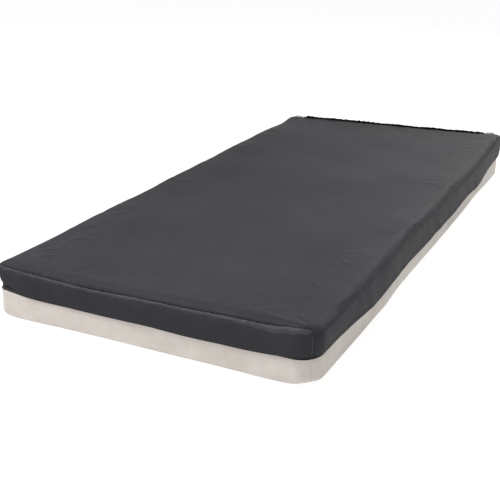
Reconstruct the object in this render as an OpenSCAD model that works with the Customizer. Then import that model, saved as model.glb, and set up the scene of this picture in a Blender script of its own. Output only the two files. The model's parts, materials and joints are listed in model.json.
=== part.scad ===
// Pressure relief mattress with a layered foam core, a two-part zipped cover and four flex sections.
// Frame: X across the width, +Y towards the head end, +Z up, origin on the deck under the centre.

/* [Overall size] */
// Width across the top cover
mattress_w = 914; // [860:2:940]
// Length from the head end to the foot end
mattress_l = 2032; // [1960:4:2080]
// Height of the lying surface above the deck
mattress_h = 152; // [150:1:160]

/* [Cover] */
// Thickness of the coated cover fabric
cover_t = 1.5; // [1:0.1:1.6]
// Radius of the four vertical corners
corner_r = 35; // [32:1:45]
// Radius of the two long top edges
edge_r = 22; // [18:1:28]
// Height of the top cover's hem above the deck
hem_z = 64; // [58:1:66]
// Height of the lower cover's side band
band_h = 68; // [64:1:69]
// Distance that the lower cover stands in from the top cover
band_inset = 4.7; // [4.6:0.1:4.8]

/* [Seams] */
// Radius of the piping along the foot end's top edge
foot_welt_r = 4.5; // [3.5:0.5:4.5]
// Radius of the piping down each vertical corner
corner_welt_r = 3; // [2:0.5:3]
// Height that the head end's seam lip stands above the lying surface
head_lip_h = 9; // [5:1:12]

/* [Flex lines] */
// Hip line, where the back section meets the seat section
hip_y = 256; // [240:2:280]
// Line where the seat section meets the thigh section
seat_y = 26; // [10:2:40]
// Knee line, where the thigh section meets the calf section
knee_y = -314; // [-340:2:-300]
// Gap between two neighbouring sections
flex_gap = 1; // [0.6:0.1:2]

/* [Foam core] */
// Top of the firm base foam
base_top = 62; // [55:1:64]
// Top of the support foam
support_top = 107; // [100:1:112]
// Width of each firm side rail
rail_w = 90; // [60:5:110]
// Number of relief cells across the width
cells_across = 9; // [6:1:10]
// Number of relief cells along the length
cells_along = 25; // [18:1:28]
// Width of the cut between two cells
cell_cut_w = 7; // [4:1:10]
// Depth of the cut between two cells
cell_cut_d = 24; // [15:1:28]

/* [Zip] */
// Place of the closed slider along the right-hand side
slider_y = 650; // [560:5:700]
// Length of the pull tab below its pin
tab_l = 44; // [30:2:52]

/* [Hidden] */
half_w = mattress_w / 2;
half_l = mattress_l / 2;
clear = 0.5;
reach = 10;
$fn = 48;

// Name, low end and high end of each section along Y
SECTIONS = [
    ["back", hip_y, half_l + reach],
    ["seat", seat_y, hip_y],
    ["thigh", knee_y, seat_y],
    ["calf", -half_l - reach, knee_y]
];
// Pieces that every section has
COVER_LAYERS = ["top_cover", "lining", "upper_zip_tape", "upper_zip_coil"];
CORE_LAYERS = [
    "bottom_cover", "base_foam", "side_rails", "support_foam", "relief_foam",
    "lower_zip_tape", "lower_zip_coil"
];
// Pieces that occur once
SINGLE_PIECES = [
    "head_end_panel", "head_top_welt", "head_corner_welts", "head_seam_tacks",
    "foot_end_panel", "foot_top_welt", "foot_corner_welts",
    "zip_slider", "pull_tab", "zip_retainer_box", "zip_insert_pin"
];

// Seams: the corner piping lies in the middle of each rounded corner
corner_in = corner_r - (corner_r - cover_t / 2) * sin(45);
wrap_end = half_l - corner_in - corner_welt_r - clear;
panel_start = half_l - corner_in + corner_welt_r + clear;
corner_welt_top = mattress_h - 14;
seam_half_w = half_w - corner_r + 2;
panel_top = mattress_h - 2;
seam_allowance_z = mattress_h - 14;
foot_welt_y = half_l - 8.7;
foot_welt_z = mattress_h + 1.5;
foot_allowance_in = 1.8;
foot_allowance_t = 3.2;
lip_t = 3;
lip_in = 2.2;
lip_half_w = half_w - 57;
tack_in = 17;
tack_w = 7;
tack_h = 5.5;

// Lining
lining_inset = cover_t + 2;
lining_t = 1.2;
lining_z = 97;
lining_end_in = 8.8;

// Foam core
core_inset = 11;
crown_inset = 5;
core_z = cover_t + clear;
rail_in = half_w - core_inset - rail_w;
cell_pitch_x = 2 * rail_in / cells_across;
cell_pitch_y = 2 * (half_l - core_inset) / cells_along;
foam_top = mattress_h - crown_inset;

// Zip
tape_inset = band_inset + cover_t + 0.3;
tape_t = 1;
lower_tape_z = 60;
coil_inset = tape_inset - 0.8;
coil_w = 2.6;
coil_h = 2.5;
coil_slot = 2;
lower_coil_z = 74;
upper_coil_z = lower_coil_z + coil_h + coil_slot;
upper_tape_z = upper_coil_z + coil_h;
upper_tape_top = 95.2;
tape_flange_t = 1.2;
slot_z = lower_coil_z + coil_h + coil_slot / 2;
slider_l = 18;
slider_w = 12;
slider_plate_t = 1.4;
post_t = 1.2;
pin_r = 1.5;
pin_hole_r = 1.56;
pin_head_r = 2.6;
pin_head_t = 0.5;
tab_w = 9;
tab_t = 1.2;
clamp_y = slider_y + 18;
clamp_l = 14;
clamp_wall = 0.9;

// Colours
charcoal = [0.16, 0.16, 0.17];
beige = [0.76, 0.72, 0.68];
light_grey = [0.72, 0.73, 0.74];
white_felt = [0.9, 0.89, 0.86];
base_colour = [0.55, 0.62, 0.72];
rail_colour = [0.72, 0.76, 0.8];
support_colour = [0.86, 0.82, 0.62];
relief_colour = [0.93, 0.91, 0.84];
dark_plastic = [0.12, 0.12, 0.13];
metal = [0.6, 0.6, 0.62];

// ---- Shared outlines ----

// Plan of the mattress, drawn in by inset on every side
module plan(inset) {
    r = corner_r - inset;
    w = mattress_w - 2 * inset;
    l = mattress_l - 2 * inset;
    square([w - 2 * r, l], center = true);
    square([w, l - 2 * r], center = true);
    for (x = [-1, 1], y = [-1, 1])
        translate([x * (w / 2 - r), y * (l / 2 - r)])
            circle(r);
}

module plan_block(inset, z0, z1) {
    translate([0, 0, z0])
        linear_extrude(z1 - z0)
            plan(inset);
}

// Cross-section with rounded upper edges, drawn in by inset at the sides and the top
module crown(inset, z0) {
    r = edge_r - inset / 2;
    w = half_w - inset;
    top = mattress_h - inset;
    translate([-w, z0])
        square([2 * w, top - r - z0]);
    translate([-w + r, z0])
        square([2 * (w - r), top - z0]);
    for (x = [-1, 1])
        translate([x * (w - r), top - r])
            circle(r);
}

module crowned_block(side_inset, top_inset, z0) {
    intersection() {
        plan_block(side_inset, z0, mattress_h);
        rotate([90, 0, 0])
            linear_extrude(mattress_l, center = true)
                crown(top_inset, z0);
    }
}

// Closed band that follows the plan
module ring(inset, t, z0, z1) {
    difference() {
        plan_block(inset, z0, z1);
        plan_block(inset + t, z0 - 1, z1 + 1);
    }
}

// Shell with a top and side walls
module shell(inset, t, z0) {
    difference() {
        crowned_block(inset, inset, z0);
        crowned_block(inset + t, inset + t, z0 - 1);
    }
}

// Slab across the whole width between two places along Y
module slab(y0, y1, z0, z1, half = half_w + reach) {
    translate([-half, y0, z0])
        cube([2 * half, y1 - y0, z1 - z0]);
}

module in_section(s) {
    intersection() {
        children();
        slab(s[1] + flex_gap / 2, s[2] - flex_gap / 2, -reach, mattress_h + 2 * reach);
    }
}

// Box from one corner to the opposite corner
module box(low, high) {
    translate(low)
        cube(high - low);
}

module corner_posts(y_side, r) {
    for (x = [-1, 1])
        translate([x * (half_w - corner_in), y_side * (half_l - corner_in), hem_z])
            cylinder(r = r, h = corner_welt_top - hem_z);
}

// ---- Top cover ----

module top_cover(s) {
    color(charcoal)
        in_section(s) {
            intersection() {
                shell(0, cover_t, hem_z);
                slab(-wrap_end, wrap_end, hem_z - 1, mattress_h + 1);
            }
            slab(wrap_end - 1, half_l - lip_in - lip_t - clear, mattress_h - cover_t, mattress_h,
                seam_half_w);
        }
}

module end_panel(y_side) {
    far = half_l + reach;
    color(charcoal)
        intersection() {
            shell(0, cover_t, hem_z);
            slab(min(y_side * panel_start, y_side * far), max(y_side * panel_start, y_side * far),
                hem_z - 1, panel_top);
        }
}

// Standing lip of the head end seam, with its seam allowance tucked behind the end panel
module head_top_welt() {
    y0 = half_l - lip_in - lip_t;
    lip_top = mattress_h + head_lip_h - lip_t / 2;
    color(charcoal) {
        slab(y0, y0 + lip_t, seam_allowance_z, lip_top, lip_half_w);
        translate([-lip_half_w, y0 + lip_t / 2, lip_top])
            rotate([0, 90, 0])
                cylinder(d = lip_t, h = 2 * lip_half_w);
    }
}

// Piping of the foot end seam, with its seam allowance tucked behind the end panel
module foot_top_welt() {
    y0 = -half_l + foot_allowance_in;
    color(charcoal) {
        translate([-seam_half_w, -foot_welt_y, foot_welt_z])
            rotate([0, 90, 0])
                cylinder(r = foot_welt_r, h = 2 * seam_half_w);
        slab(y0, y0 + foot_allowance_t, seam_allowance_z, mattress_h, seam_half_w);
    }
}

module corner_welts(y_side) {
    color(charcoal)
        corner_posts(y_side, corner_welt_r);
}

// Folded ends of the seam tape, which carry on from the lip to the two head corners
module head_seam_tacks() {
    y0 = half_l - lip_in - lip_t - tack_w / 2;
    color(light_grey)
        difference() {
            slab(y0, y0 + tack_w, mattress_h, mattress_h + tack_h, half_w - tack_in);
            slab(y0 - 1, y0 + tack_w + 1, 0, mattress_h + reach, lip_half_w + clear);
        }
}

// Flame barrier sewn inside the top cover
module lining(s) {
    end_y = half_l - lining_end_in;
    color(white_felt)
        in_section(s) {
            intersection() {
                shell(lining_inset, lining_t, lining_z);
                slab(-wrap_end, wrap_end, lining_z - 1, mattress_h + 1);
            }
            for (y_side = [-1, 1]) {
                inner = y_side * (wrap_end - 1);
                outer = y_side * end_y;
                wall = y_side * (end_y - lining_t);
                slab(min(inner, outer), max(inner, outer), mattress_h - lining_inset - lining_t,
                    mattress_h - lining_inset, seam_half_w);
                slab(min(wall, outer), max(wall, outer), lining_z, mattress_h - lining_inset,
                    seam_half_w);
            }
        }
}

// ---- Zip ----

// Upper tape, with a flange that reaches out to the inside of the top cover
module upper_zip_tape(s) {
    flange_in = cover_t + 0.2;
    color(dark_plastic)
        in_section(s)
            difference() {
                union() {
                    ring(tape_inset, tape_t, upper_tape_z, upper_tape_top);
                    ring(flange_in, tape_inset + tape_t - flange_in, upper_tape_top - tape_flange_t,
                        upper_tape_top);
                }
                for (y_side = [-1, 1])
                    corner_posts(y_side, corner_welt_r + clear);
            }
}

module upper_zip_coil(s) {
    color(dark_plastic)
        in_section(s)
            ring(coil_inset, coil_w, upper_coil_z, upper_coil_z + coil_h);
}

module lower_zip_tape(s) {
    color(beige)
        in_section(s)
            ring(tape_inset, tape_t, lower_tape_z, lower_coil_z);
}

module lower_zip_coil(s) {
    color(dark_plastic)
        in_section(s)
            ring(coil_inset, coil_w, lower_coil_z, lower_coil_z + coil_h);
}

// Two plates joined by a post that runs in the slot between the coils, and the pin for the tab
module zip_slider() {
    coil_out = half_w - coil_inset;
    coil_in = coil_out - coil_w;
    play = 0.4;
    low = slider_y - slider_l / 2;
    high = slider_y + slider_l / 2;
    z0 = slot_z - slider_w / 2;
    z1 = slot_z + slider_w / 2;
    face = coil_out + play + slider_plate_t;
    color(metal) {
        box([coil_in - play - slider_plate_t, low, z0], [coil_in - play, high, z1]);
        box([coil_out + play, low, z0], [face, high, z1]);
        box([coil_in - play - 0.1, low, slot_z - post_t / 2],
            [coil_out + play + 0.1, low + 4, slot_z + post_t / 2]);
        translate([face, slider_y, slot_z])
            rotate([0, 90, 0]) {
                cylinder(r = pin_r, h = tab_t + 0.4);
                translate([0, 0, tab_t + 0.4])
                    cylinder(r = pin_head_r, h = pin_head_t);
            }
    }
}

module pull_tab() {
    face = half_w - coil_inset + 0.4 + slider_plate_t + 0.2;
    end_r = tab_w / 2;
    color(dark_plastic)
        translate([face, slider_y, slot_z])
            rotate([0, 90, 0])
                difference() {
                    union() {
                        cylinder(r = end_r, h = tab_t);
                        translate([0, -end_r, 0])
                            cube([tab_l, tab_w, tab_t]);
                        translate([tab_l, 0, 0])
                            cylinder(r = end_r, h = tab_t);
                    }
                    translate([0, 0, -1])
                        cylinder(r = pin_hole_r, h = tab_t + 2);
                }
}

// Clamp around one coil and its tape: up is 1 above the slot and -1 below it
module zip_clamp(up) {
    coil_out = half_w - coil_inset;
    tape_out = half_w - tape_inset;
    gap = 0.2;
    depth = coil_h + coil_slot / 2;
    translate([0, clamp_y, slot_z])
        mirror([0, 0, up > 0 ? 0 : 1])
            difference() {
                box([coil_out - coil_w - gap - clamp_wall, 0, 0.3],
                    [coil_out + gap + clamp_wall, clamp_l, depth + 3]);
                box([coil_out - coil_w - gap, -1, coil_slot / 2 - gap],
                    [coil_out + gap, clamp_l + 1, depth + gap]);
                box([tape_out - tape_t - gap, -1, depth], [tape_out + gap, clamp_l + 1, depth + 4]);
            }
}

module zip_retainer_box() {
    color(dark_plastic)
        zip_clamp(-1);
}

module zip_insert_pin() {
    color(dark_plastic)
        zip_clamp(1);
}

// ---- Core ----

// Lower cover: a tray with a side band
module bottom_cover(s) {
    color(beige)
        in_section(s)
            difference() {
                plan_block(band_inset, 0, band_h);
                plan_block(band_inset + cover_t, cover_t, band_h + 1);
            }
}

module base_foam(s) {
    color(base_colour)
        in_section(s)
            plan_block(core_inset, core_z, base_top);
}

// Two firm rails that stand on the base foam along the long sides
module side_rails(s) {
    color(rail_colour)
        in_section(s)
            difference() {
                crowned_block(core_inset, crown_inset, base_top + clear);
                slab(-half_l - reach, half_l + reach, 0, mattress_h + reach, rail_in);
            }
}

// Layer between the two rails
module between_rails(z0, z1) {
    slab(-half_l + core_inset, half_l - core_inset, z0, z1, rail_in - clear);
}

module support_foam(s) {
    color(support_colour)
        in_section(s)
            between_rails(base_top + clear, support_top);
}

// Top layer, cut into cells so that each yields by itself
module relief_foam(s) {
    color(relief_colour)
        in_section(s)
            difference() {
                between_rails(support_top + clear, foam_top);
                for (i = [1 : cells_across - 1])
                    translate([-rail_in + i * cell_pitch_x - cell_cut_w / 2, -half_l, foam_top - cell_cut_d])
                        cube([cell_cut_w, mattress_l, cell_cut_d + 1]);
                for (j = [1 : cells_along - 1])
                    translate([-half_w, -half_l + core_inset + j * cell_pitch_y - cell_cut_w / 2,
                        foam_top - cell_cut_d])
                        cube([mattress_w, cell_cut_w, cell_cut_d + 1]);
            }
}

// ---- Assembly ----

for (s = SECTIONS) {
    top_cover(s);
    lining(s);
    upper_zip_tape(s);
    upper_zip_coil(s);
    bottom_cover(s);
    base_foam(s);
    side_rails(s);
    support_foam(s);
    relief_foam(s);
    lower_zip_tape(s);
    lower_zip_coil(s);
}
end_panel(1);  // head_end_panel
end_panel(-1);  // foot_end_panel
head_top_welt();
foot_top_welt();
corner_welts(1);  // head_corner_welts
corner_welts(-1);  // foot_corner_welts
head_seam_tacks();
zip_slider();
pull_tab();
zip_retainer_box();
zip_insert_pin();
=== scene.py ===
"""Looks of a pressure relief mattress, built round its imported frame. Metres, +Y to the head end, +Z up."""

import json
import math

import bpy
import numpy as np
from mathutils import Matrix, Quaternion, Vector


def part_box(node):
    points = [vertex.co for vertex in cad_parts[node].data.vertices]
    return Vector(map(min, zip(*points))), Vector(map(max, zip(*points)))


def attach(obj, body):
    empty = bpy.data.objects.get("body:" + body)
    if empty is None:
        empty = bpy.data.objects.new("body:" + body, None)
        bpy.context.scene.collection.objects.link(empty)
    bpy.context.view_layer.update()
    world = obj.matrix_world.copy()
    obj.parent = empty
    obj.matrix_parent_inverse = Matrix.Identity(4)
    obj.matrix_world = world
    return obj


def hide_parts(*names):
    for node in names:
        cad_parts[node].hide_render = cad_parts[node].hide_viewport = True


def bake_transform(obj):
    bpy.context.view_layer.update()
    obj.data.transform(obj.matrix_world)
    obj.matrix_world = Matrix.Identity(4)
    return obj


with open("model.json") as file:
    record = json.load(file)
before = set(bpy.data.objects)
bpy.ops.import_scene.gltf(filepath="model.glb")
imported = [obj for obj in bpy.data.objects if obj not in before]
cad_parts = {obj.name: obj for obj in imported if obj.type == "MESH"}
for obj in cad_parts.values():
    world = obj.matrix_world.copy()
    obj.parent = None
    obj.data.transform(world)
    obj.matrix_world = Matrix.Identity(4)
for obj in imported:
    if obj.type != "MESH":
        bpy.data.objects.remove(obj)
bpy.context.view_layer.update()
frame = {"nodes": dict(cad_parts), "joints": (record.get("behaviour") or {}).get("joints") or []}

# ---- Places read from the frame ----

COVER_LO, COVER_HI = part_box("top_cover_seat")
BAND_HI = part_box("bottom_cover_seat")[1]
LIP_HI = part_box("head_top_welt")[1]
SLIDER_LO, SLIDER_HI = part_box("zip_slider")
TAB_LO, TAB_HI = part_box("pull_tab")
HALF_W, HALF_L = COVER_HI.x, -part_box("foot_end_panel")[0].y
TOP_Z, HEM_Z = COVER_HI.z, COVER_LO.z
COVER_DROP = TOP_Z - HEM_Z
LINING_DROP = TOP_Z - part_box("lining_seat")[0].z
BAND_HALF_W, BAND_HALF_L = BAND_HI.x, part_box("bottom_cover_back")[1].y
BAND_Z = BAND_HI.z
CLOTH_T = 0.0015
# Plan radius of the corners: at the head, at the foot's left and at the foot's right
COVER_CORNERS = (0.017, 0.030, 0.057)
BAND_CORNERS = (0.020, 0.030, 0.060)

JOINTS = {joint["name"]: joint for joint in frame["joints"]}
HIP_Y, SEAT_Y, KNEE_Y = (JOINTS[name]["pos_m"][1] for name in ("back_raise", "knee_raise", "calf_level"))
CUT_HEAD_Y = (HIP_Y + SEAT_Y) / 2
CUT_FOOT_Y = (SEAT_Y + KNEE_Y) / 2
PATH_LOW, PATH_HIGH = SLIDER_LO.y - JOINTS["zip_travel"]["range_m"][1], SLIDER_HI.y
BEND_NEAR = 0.11
BEND_KNEE = 0.165


# ---- Smooth random fields, the same on every run ----

def field(points, seed, shortest, longest, count=24):
    """A smooth random value of about -1 to 1 at each point, made of plane waves."""
    rng = np.random.default_rng(seed)
    turn = rng.normal(size=(count, 3))
    turn /= np.linalg.norm(turn, axis=1)[:, None]
    length = np.exp(rng.uniform(np.log(shortest), np.log(longest), count))
    weight = np.sqrt(length / longest)
    weight /= np.sqrt((weight**2).sum() / 2)
    phase = rng.uniform(0, 2 * math.pi, count)
    total = np.zeros(len(points))
    for row, start, share in zip(turn * (2 * math.pi / length)[:, None], phase, weight):
        total += share * np.sin(points @ row + start)
    return total * 0.7


def along(t, seed, shortest, longest, count=16):
    """A smooth random value of about -1 to 1 along a line."""
    rng = np.random.default_rng(seed)
    length = np.exp(rng.uniform(np.log(shortest), np.log(longest), count))
    phase = rng.uniform(0, 2 * math.pi, count)
    total = np.zeros(len(t))
    for size, start in zip(length, phase):
        total += np.sin(2 * math.pi * t / size + start)
    return total / math.sqrt(count) * 1.1


def smooth(x, low, high):
    """0 at low, 1 at high and an even slope between them."""
    t = np.clip((x - low) / (high - low), 0, 1)
    return t * t * (3 - 2 * t)


def corner_radius(x, y, radii):
    """The plan radius of the corner nearest each point."""
    head, foot_left, foot_right = radii
    return np.where(y > 0, head, np.where(x < 0, foot_left, foot_right))


def bump_at(x, centre, width):
    """1 at the centre, fading to 0 over a few widths."""
    return np.exp(-(((x - centre) / width) ** 2))


# ---- The lie of the whole mattress: soft bulges that every layer shares ----

def settle_all(points, share=1.0):
    """Moves points as the stuffed whole has settled: sides drawn in between the corners, one side bulging
    near the calves and the head end lying a little out of level. share is how much of it each point takes."""
    x, y, z = points.T
    side = smooth(np.abs(x), 0.18, HALF_W)
    end = smooth(np.abs(y), HALF_L - 0.35, HALF_L)
    low = 1 - smooth(z, 0.03, TOP_Z)
    drawn_in = 0.0028 * (1 - (y / HALF_L) ** 2) * side - 0.0012 * side
    right = smooth(x, 0.18, HALF_W)
    bulge = right * bump_at(y, -0.62, 0.24) * 0.006 * low + right * bump_at(y, 0.1, 0.35) * 0.003 * low
    across = np.sign(x) * -drawn_in + bulge + 0.0045 * right * smooth(y, -0.5, 0.7)
    lengthways = -np.sign(y) * 0.002 * (1 - (x / HALF_W) ** 2) * end
    tilt = smooth(y, 0.55, HALF_L) * (0.0085 * x / HALF_W + 0.0015)
    tilt += 0.006 * bump_at(x, HALF_W, 0.09) * bump_at(y, HALF_L, 0.12)
    tilt += 0.013 * bump_at(x, -HALF_W, 0.08) * bump_at(y, -HALF_L, 0.10) * (1 - smooth(z, 0.09, 0.15))
    tilt *= smooth(z, 0.0, 0.06)
    return points + (np.stack([across, lengthways, tilt]) * share).T


def settle_zip(points):
    """The same for the zip, which stays true along the slider's path."""
    x, y, _ = points.T
    path = smooth(y, PATH_LOW - 0.16, PATH_LOW - 0.02) * (1 - smooth(y, PATH_HIGH + 0.03, PATH_HIGH + 0.25))
    return settle_all(points, 1 - path * (x > 0))


# ---- Meshes ----

def vertex_normals(verts, faces):
    """The directions that four-sided faces have on average at each point."""
    a, b, c, d = (verts[faces[:, i]] for i in range(4))
    face_normal = np.cross(c - a, d - b)
    total = np.zeros_like(verts)
    for i in range(4):
        np.add.at(total, faces[:, i], face_normal)
    return total / np.maximum(np.linalg.norm(total, axis=1), 1e-12)[:, None]


def make_object(name, verts, faces, normals=None, sharp=None):
    """A smooth-shaded mesh object, with its rest place kept as an attribute for its texture."""
    mesh = bpy.data.meshes.new(name)
    mesh.from_pydata(verts.tolist(), [], [tuple(int(i) for i in face) for face in faces])
    mesh.polygons.foreach_set("use_smooth", np.ones(len(mesh.polygons), bool))
    place = mesh.attributes.new("rest_place", "FLOAT_VECTOR", "POINT")
    place.data.foreach_set("vector", verts.astype(np.float32).ravel())
    if normals is not None:
        mesh.normals_split_custom_set_from_vertices(normals.tolist())
    if sharp is not None:
        mesh.set_sharp_from_angle(angle=math.radians(sharp))
    mesh.update()
    obj = bpy.data.objects.new(name, mesh)
    bpy.context.scene.collection.objects.link(obj)
    return obj


def grid_faces(index):
    """Four-sided faces over a grid of point numbers."""
    return np.stack([index[:-1, :-1], index[1:, :-1], index[1:, 1:], index[:-1, 1:]], -1).reshape(-1, 4)


def tube_faces(index):
    """Four-sided faces of a tube whose rings are the rows of point numbers."""
    here, ahead = index[:-1], index[1:]
    return np.stack([here, np.roll(here, -1, 1), np.roll(ahead, -1, 1), ahead], -1).reshape(-1, 4)


def boundary_edges(faces):
    """Directed edges that only one face uses."""
    edges = np.concatenate([faces[:, [i, (i + 1) % 4]] for i in range(4)])
    key = np.sort(edges, axis=1)
    _, index, count = np.unique(key, axis=0, return_index=True, return_counts=True)
    return edges[index[count == 1]]


def between(name, outer_verts, inner_verts, faces, outer_normals=None, sharp=None):
    """Cuts faces out of a surface and joins them to an inner copy of it by a closed rim."""
    used, local = np.unique(faces, return_inverse=True)
    outer = local.reshape(-1, 4)
    count = len(used)
    inner = outer[:, ::-1] + count
    rim = boundary_edges(outer)
    rim_faces = np.stack([rim[:, 1], rim[:, 0], rim[:, 0] + count, rim[:, 1] + count], axis=1)
    verts = np.concatenate([outer_verts[used], inner_verts[used]])
    normals = None
    if outer_normals is not None:
        normals = np.concatenate([outer_normals[used], -outer_normals[used]])
    return make_object(name, verts, np.concatenate([outer, inner, rim_faces]), normals, sharp=sharp)


def swept(name, rings, sharp=50):
    """A skin over rows of points: rings[i, j] is point j of ring i, and the ends are capped."""
    index = np.arange(rings.shape[0] * rings.shape[1]).reshape(rings.shape[:2])
    skin = [*tube_faces(index).tolist(), index[0][::-1].tolist(), index[-1].tolist()]
    arm = rings[0] - rings[0].mean(axis=0)
    spin = np.cross(arm, np.roll(arm, -1, 0)).sum(axis=0)
    if spin @ (rings[1].mean(axis=0) - rings[0].mean(axis=0)) > 0:
        skin = [face[::-1] for face in skin]
    return make_object(name, rings.reshape(-1, 3), skin, sharp=sharp)


def merged(name, parts, sharp=50):
    """Several swept parts as one object."""
    made = [swept(f"{name}_{i}", rings, sharp) for i, rings in enumerate(parts)]
    with bpy.context.temp_override(active_object=made[0], selected_editable_objects=made):
        bpy.ops.object.join()
    made[0].name = made[0].data.name = name
    return made[0]


# ---- The pan form that the cover and the base share ----

# Distances of the rings of points from the edge, close together where the surface bends
RINGS = np.array([0, 1.6, 3.2, 5, 7, 9.5, 12.5, 16, 20, 24.5, 30, 36, 43, 51]) / 1000


def grid_lines(half, step):
    """Grid lines from -half to half: the rings near both ends and even steps between them."""
    inner = half - RINGS[-1]
    count = max(1, round(2 * inner / step))
    near = half - RINGS[:-1]
    return np.concatenate([-near, np.linspace(-inner, inner, count + 1), near[::-1]])


def rounded_rings(x, y, w, l, corner_r):
    """Moves points of a sharp rectangle's rings onto concentric rings with rounded corners.

    Returns x, y, each ring's inset, the outward direction in plan, and the signed distance round the
    ring from the middle of the nearest corner, which is above 0 on the long sides.
    """
    ax, ay = np.abs(x), np.abs(y)
    inset = np.minimum(w - ax, l - ay)
    r = np.maximum(corner_r - inset, 0)
    past_x, past_y = (w - inset) - ax, (l - inset) - ay
    on_side = past_y >= past_x
    run = np.maximum(past_x, past_y)
    in_corner = run < r
    turn = np.where(in_corner, (1 - run / np.maximum(r, 1e-9)) * math.pi / 4, 0)
    angle = np.where(on_side, turn, math.pi / 2 - turn)
    nx = np.where(in_corner, np.cos(angle), on_side.astype(float))
    ny = np.where(in_corner, np.sin(angle), 1 - on_side.astype(float))
    px = np.where(in_corner, w - corner_r + r * nx, ax)
    py = np.where(in_corner, l - corner_r + r * ny, ay)
    sx, sy = np.where(x < 0, -1.0, 1.0), np.where(y < 0, -1.0, 1.0)
    corner = np.where(in_corner, run * math.pi / 4, run - r + r * math.pi / 4)
    corner = np.where(on_side, corner, -corner)
    return px * sx, py * sy, inset, nx * sx, ny * sy, corner


def round_profile(q, radius):
    """A sharp edge's profile bent to a round one: q runs inwards below 0 and down the wall above 0.

    Returns the inset from the wall and the drop below the top.
    """
    bent = np.abs(q) < radius
    phi = (q + radius) / (2 * radius) * math.pi / 2
    inset = np.where(bent, radius * (1 - np.sin(phi)), np.where(q < 0, -q, 0))
    drop = np.where(bent, radius * (1 - np.cos(phi)), np.where(q < 0, 0, q))
    return inset, drop


class Form:
    """A rectangular pan, open below: a top grid and walls, both on one set of grid lines."""

    def __init__(self, w, l, depth, corners_r, step_x, step_y, rows):
        self.w, self.l, self.depth = w, l, depth
        gx, gy = np.meshgrid(grid_lines(w, step_x), grid_lines(l, step_y), indexing="ij")
        nx, ny = gx.shape
        index = np.arange(nx * ny).reshape(nx, ny)
        loop = np.concatenate([index[:-1, 0], index[-1, :-1], index[:0:-1, -1], index[0, :0:-1]])
        corners = np.array([0, nx - 1, nx + ny - 2, 2 * nx + ny - 3])
        drops = np.concatenate([RINGS[1:], np.linspace(RINGS[-1], depth, rows + 1)[1:]])
        self.drops = drops[drops <= depth + 1e-9]
        levels = len(self.drops)
        x = np.concatenate([gx.ravel(), np.tile(gx.ravel()[loop], levels)])
        y = np.concatenate([gy.ravel(), np.tile(gy.ravel()[loop], levels)])
        q = np.concatenate([np.full(nx * ny, -1.0), np.repeat(self.drops, len(loop))])
        radii = corner_radius(x, y, corners_r)
        self.px, self.py, inset, self.ox, self.oy, self.corner = rounded_rings(x, y, w, l, radii)
        self.q = np.where(q < 0, -inset, q)
        self.top_faces = grid_faces(index)
        # Each column of the walls: its point on the top's edge, then one at each drop
        lower = nx * ny + np.arange(levels * len(loop)).reshape(levels, -1)
        self.columns = np.concatenate([loop[None], lower])
        upper, under = self.columns[:-1], self.columns[1:]
        walls = np.stack([upper, under, np.roll(under, -1, 1), np.roll(upper, -1, 1)], axis=-1)
        self.corners = corners
        sides = np.split(walls, corners[1:], axis=1)
        self.foot_faces, self.right_faces, self.head_faces, self.left_faces = (
            side.reshape(-1, 4) for side in sides)
        self.faces = np.concatenate([self.top_faces, walls.reshape(-1, 4)])

    def place(self, radius, slip=0.0):
        """Points of the pan with its top at z 0 and its upper edge rounded by radius.

        slip moves the cloth down over the edge by that length there.
        """
        q = self.q + slip * np.exp(-((self.q / 0.035) ** 2))
        inset, drop = round_profile(q, radius)
        shift = np.where(self.q < 0, -self.q, 0) - inset
        return np.stack([self.px + self.ox * shift, self.py + self.oy * shift, -drop], axis=1)

    def seam_distance(self):
        """Distance on the surface from the seams: the end panels' top edges and the four vertical corners."""
        aside = np.where(self.corner > 0, np.hypot(self.q, self.corner), np.abs(self.q))
        return np.where(self.q > 0, np.minimum(aside, np.abs(self.corner)), aside)


# ---- The cover's form ----

SIDE_R = 0.027
HEAD_R = 0.012
FOOT_R = 0.032
CROWN = 0.003
RIGHT_FLARE, LEFT_FLARE = 0.0085, 0.006
BELLY = 0.0035
PUCKER_H, PUCKER_FADE = 0.0010, 0.014
SEAM_SUNK = 0.0024
COVER = Form(HALF_W, HALF_L, COVER_DROP, COVER_CORNERS, step_x=0.0055, step_y=0.0085, rows=8)

# Small wrinkles pressed into the lying surface: (x, y) of both ends, width, depth
CREASES = [
    ((-0.402, -0.892), (-0.358, -0.856), 0.0050, 0.0020),
    ((-0.368, -0.937), (-0.338, -0.905), 0.0048, 0.0018),
    ((-0.426, -0.869), (-0.396, -0.842), 0.0045, 0.0014),
    ((-0.434, -0.975), (-0.385, -1.000), 0.0060, 0.0016),
    ((-0.405, -0.700), (-0.300, -0.742), 0.0090, 0.0007),
    ((0.375, -0.955), (0.425, -0.985), 0.0060, 0.0018),
    ((0.300, -0.990), (0.395, -0.998), 0.0060, 0.0014),
    ((0.400, 0.905), (0.438, 0.985), 0.0060, 0.0012),
    ((-0.400, 0.930), (-0.436, 0.985), 0.0060, 0.0012),
]


def creases(points):
    """How far the wrinkles press each point in: a groove between two low ridges, fading at both ends."""
    depth = np.zeros(len(points))
    for start, end, width, deep in CREASES:
        a, b = np.array(start), np.array(end)
        t = (points[:, :2] - a) @ (b - a) / ((b - a) @ (b - a))
        off = np.linalg.norm(points[:, :2] - a - np.clip(t, 0, 1)[:, None] * (b - a), axis=1)
        fade = smooth(t, -0.15, 0.35) * (1 - smooth(t, 0.65, 1.15))
        depth += deep * fade * (bump_at(off, 0, width) - 0.5 * bump_at(off, 1.8 * width, width))
    return depth


def seam_slip(x, foot):
    """How far the cover has slipped down over the foot edge, so that its seam hangs below the top."""
    hang = 0.004 + 0.0085 * bump_at(x, -0.16, 0.15) + 0.003 * bump_at(x, 0.12, 0.14)
    hang -= 0.0085 * bump_at(x, 0.405, 0.045) + 0.004 * bump_at(x, -0.44, 0.03)
    return hang * foot


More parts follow.
